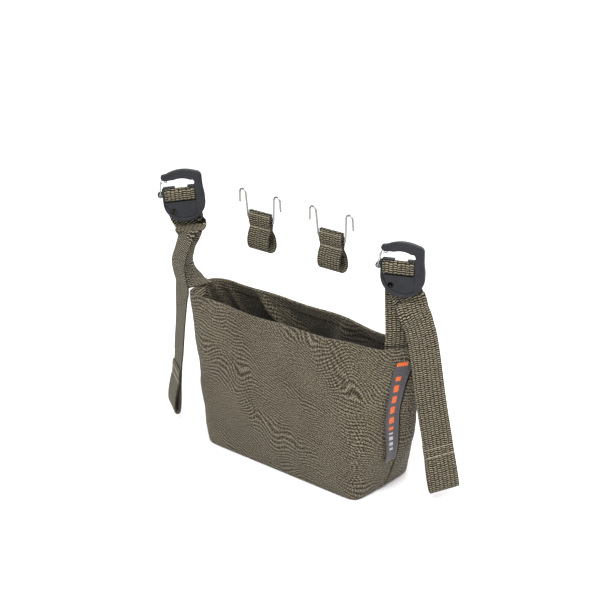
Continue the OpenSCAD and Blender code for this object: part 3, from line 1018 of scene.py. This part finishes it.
def halves(front, back, left, right):
    """The two halves of an outline between the side seams, each with half of the columns."""
    closed = corner_cut(vectors(left, *front, right, *back))
    first = min(range(len(closed)), key=lambda i: (closed[i] - Vector(left)).length)
    closed = closed[first:] + closed[:first]
    middle = min(range(len(closed)), key=lambda i: (closed[i] - Vector(right)).length)
    half = pouch_columns // 2
    return resample(closed[: middle + 1], half)[:-1] + resample(closed[middle:] + closed[:1], half)[:-1]


def gauss(x, width):
    """A smooth bump, 1 in its middle."""
    return math.exp(-((x / width) ** 2))


def swell(s, t):
    """How far the wall bows out between its foot and its rim."""
    right = gauss(s - 0.5, end_width)
    left = gauss(min(s, 1 - s), end_width)
    most = swell_most + swell_right * right + swell_left * left
    if t < swell_height:
        return most * min(1.0, t / swell_height) ** 0.75
    return most * max(0.0, 1 - ((t - swell_height) / (1 - swell_height)) ** 2.2)


def creases(s, t):
    """Soft folds: slanting swags, and short upright tucks under the left end's rim."""
    u = s * 2
    swag = 0.0
    for centre_u, centre_t, slope, width, depth in swags:
        along = (u - centre_u) * 4.0
        off = (t - centre_t) - slope * along * 0.35
        swag += depth * gauss(off, width * 2.2) * gauss(along, 0.9)
    tuck = 0.0
    for centre, depth in tucks:
        off = abs(s - centre)
        tuck += depth * gauss(min(off, 1 - off), tuck_width)
    tuck *= max(0.0, 1 - abs(t - tuck_height) / tuck_length)
    rough = noise.noise(Vector((u * 9, t * 7, 3.0))) * 0.9
    rough += noise.noise(Vector((u * 22, t * 18, 9.0))) * 0.35
    fade = min(1.0, t / 0.12) * min(1.0, (1 - t) / 0.10 + 0.15)
    return (swag + rough) * fade + tuck


def seam_share(t):
    """Where round the pouch the right end seam runs: it leans back as it climbs."""
    low = seam_low * min(max(t, 0) * seam_low_rate, 1)
    high = seam_high * max((t - seam_high_from) / seam_high_run, 0) ** seam_high_power
    return 0.5 + low + high


def seam_relief(s, t):
    """The stitched end seams stand up as a narrow ridge beside a groove."""
    if t >= seam_top:
        return 0.0
    step = 0.0
    for off in (s - round(s), s - seam_share(t)):
        step += 0.9 * gauss(off + 0.0045, 0.0045) - 0.7 * gauss(off, 0.0028)
    return step


def rim_wave(s):
    """The free edge of the mouth is not quite level."""
    return 0.9 * math.sin(2 * math.pi * (3 * s + 0.1)) + 0.6 * math.sin(2 * math.pi * (7 * s + 0.4))


def hollows(s, t):
    """How far the lining stands in: gathers at the left end, a ridge down the back wall."""
    depth = 0.0
    for centre_s, centre_t, lean, width, length, most in inner_folds:
        off = s + lean * (t - centre_t) - centre_s
        off = off - round(off)
        depth += most * gauss(off, width) * gauss(t - centre_t, length)
    return max(depth, 0.0) * min(1.0, (1 - t) / 0.10)


def line_at(line, s):
    """A place a share of the way round a closed line."""
    reach = (s % 1.0) * len(line)
    i = int(reach)
    return lerp(line[i % len(line)], line[(i + 1) % len(line)], reach - i)


class Wall:
    """The outside of the pouch, from its base to its rim."""

    def __init__(self):
        half_l, half_d = base_length / 2, base_depth / 2
        front = [(-half_l, -half_d), (half_l, -half_d)]
        back = [(half_l, half_d), (-half_l, half_d)]
        self.base = halves(front, back, (-half_l, 0), (half_l, 0))
        self.rim = halves(rim_front, rim_back, seam_left, seam_right)

    def plain(self, s, t):
        """A place on the wall before it swells and folds."""
        p = lerp(line_at(self.base, s), line_at(self.rim, s), t)
        return Vector((p.x, p.y, t * pouch_height))

    def outward(self, s, t):
        run = (self.plain(s + 0.008, t) - self.plain(s - 0.008, t)).normalized()
        return Vector((run.y, -run.x, 0))

    def at(self, s, t, lift=0.0):
        push = swell(s, t) + creases(s % 1.0, t) + seam_relief(s, t) + lift
        droop = rim_wave(s) * max(0.0, (t - wave_from) / wave_run)
        return self.plain(s, t) + self.outward(s, t) * push + Vector((0, 0, droop))


def flat_ring(ring, share, height):
    return [Vector((p.x * share, p.y * share, height)) for p in ring]


def pouch_rings(wall):
    """Rings from the base up the outside, over the rim and down the inside, and how far on each is."""
    half_d = base_depth / 2
    hem_from = 1 - hem_height / pouch_height
    heights = [i / pouch_rows for i in range(pouch_rows + 1)]
    heights = sorted(heights + [hem_from - 0.002, hem_from + 0.004])
    shares = [c / len(wall.rim) for c in range(len(wall.rim))]
    outside = {t: [wall.at(s, t) for s in shares] for t in heights}
    normals = {t: [wall.outward(s, t) for s in shares] for t in heights}
    rings = [flat_ring(wall.base, share, 0.0) for share in floor_shares]
    lengths = [-(1 - share) * half_d for share in floor_shares]
    rings.append([Vector((p.x * 0.985, p.y * 0.975, 0.0)) for p in outside[0]])
    rings += [outside[t] for t in heights[1:]]
    lengths += [t * pouch_height for t in heights]
    for drop, share in ((0.15, 0.5), (-0.45, 0.85)):
        back = (cloth_thickness + hem_extra) * share
        rings.append([p - n * back + Vector((0, 0, drop)) for p, n in zip(outside[1.0], normals[1.0])])
        lengths.append(pouch_height + 1 + share)
    for t in [t for t in reversed(heights) if t >= lining_foot]:
        thick = cloth_thickness + (hem_extra if t > hem_from else 0)
        inner = [p - n * (thick + hollows(s, t)) for s, p, n in zip(shares, outside[t], normals[t])]
        rings.append([Vector((p.x, p.y, max(p.z, cloth_thickness))) for p in inner])
        lengths.append(2 * pouch_height - t * pouch_height)
    last = rings[-1]
    for share in reversed(floor_shares):
        rings.append(flat_ring(last, share, cloth_thickness))
        lengths.append(2 * pouch_height + (1 - share) * half_d)
    return rings, lengths


def build_pouch(wall, material):
    """One closed cloth shell: outside, lining and base."""
    rings, lengths = pouch_rings(wall)
    columns = len(rings[0])
    points = [p for ring in rings for p in ring]
    corners = grid_corners(len(rings), columns)
    faces = grid_faces(corners, columns)
    uvs = grid_uvs(corners, [pouch_girth * c / columns for c in range(columns + 1)], lengths)
    for cap in cap_faces(len(rings), columns):
        faces.append(cap)
        uvs.append([points[n].xy for n in cap])
    pouch = make_mesh("pouch_cloth", points, faces, material, uvs)
    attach(pouch, "pouch")
    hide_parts("front_panel", "back_panel", "base_panel")


def label_points(wall):
    """The label's face and then its back, in rows that climb along the seam."""
    wide = label_width / pouch_girth
    points = []
    for lift in (0.9, 0.35):
        for i in range(label_rows + 1):
            t = lerp(*label_span, i / label_rows)
            curl = label_curl * math.sin(math.pi * min(1, i / label_rows + 0.15)) ** 0.5
            first = seam_share(t) - wide - label_seam_gap
            for j in range(label_columns + 1):
                free = 1 - j / label_columns
                proud = lift + curl * free**2 + label_ripple * math.sin(i * 0.35) * free
                points.append(wall.at(first + wide * j / label_columns, t, proud))
    return points


def build_label(wall, material):
    """A narrow folded label caught by the right end seam, its front edge standing off a little."""
    columns, rows = label_columns, label_rows
    span = columns + 1
    layer_size = (rows + 1) * span
    across = [j * label_width / columns for j in range(span)]
    along = [i * label_length / rows for i in range(rows + 1)]
    faces, uvs = [], []
    for flip in (False, True):
        corners = grid_corners(rows + 1, columns, flip)
        faces += grid_faces(corners, span, layer_size if flip else 0)
        uvs += grid_uvs(corners, across, along)
    edge = [(0, j) for j in range(columns)] + [(i, columns) for i in range(rows)]
    edge += [(rows, j) for j in range(columns, 0, -1)] + [(i, 0) for i in range(rows, 0, -1)]
    for start, end in zip(edge, edge[1:] + edge[:1]):
        a, b = (i * span + j for i, j in (start, end))
        faces.append((b, a, a + layer_size, b + layer_size))
        uvs += grid_uvs([(end, start, start, end)], across, along)
    label = make_mesh("woven_label", label_points(wall), faces, material, uvs)
    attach(label, "pouch")
    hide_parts("side_label")


# -------- the scene


def add_floor():
    """A wide pale floor just under the pouch."""
    paint = Paint("floor")
    grain = paint.noise(object_place(paint), 0.01, 2)
    colour = paint.ramp(grain, ((0.3, (0.86, 0.86, 0.86)), (0.7, (0.90, 0.90, 0.90))))
    far, low = 3000, -0.2
    corners = vectors((-far, -far, low), (far, -far, low), (far, far, low), (-far, far, low))
    floor = make_mesh("floor", corners, [(0, 1, 2, 3)], paint.finish(colour, 0.9))


add_camera()
add_world()
add_softbox("key", yaw=30, pitch=55, distance=1500, size=900, power=26)
add_softbox("fill", yaw=110, pitch=35, distance=1500, size=1100, power=8)
add_softbox("rim", yaw=200, pitch=50, distance=1500, size=900, power=10)
add_floor()

cloth = cloth_material("pouch_weave", (30, 26, 19), (75, 69, 56), (122, 114, 98))
webbing = webbing_material("webbing_weave", (10, 8, 5), (70, 64, 50), (146, 137, 114))
thread = thread_material("sewing_thread", (104, 96, 78), (160, 150, 126))
moulding = moulding_material("moulded_nylon")
wire = wire_material("drawn_wire")

pouch_wall = Wall()
build_pouch(pouch_wall, cloth)
build_label(pouch_wall, label_material("label_weave", label_length))
for side in SIDES:
    build_root(side, webbing, thread)
    build_riser(side, webbing)
    build_free_end(side, webbing, thread)
    build_gate_hook(side, moulding)
    build_gate(side, wire)
    build_wire_hook(side, wire)
    build_hook_loop(side, webbing, thread)
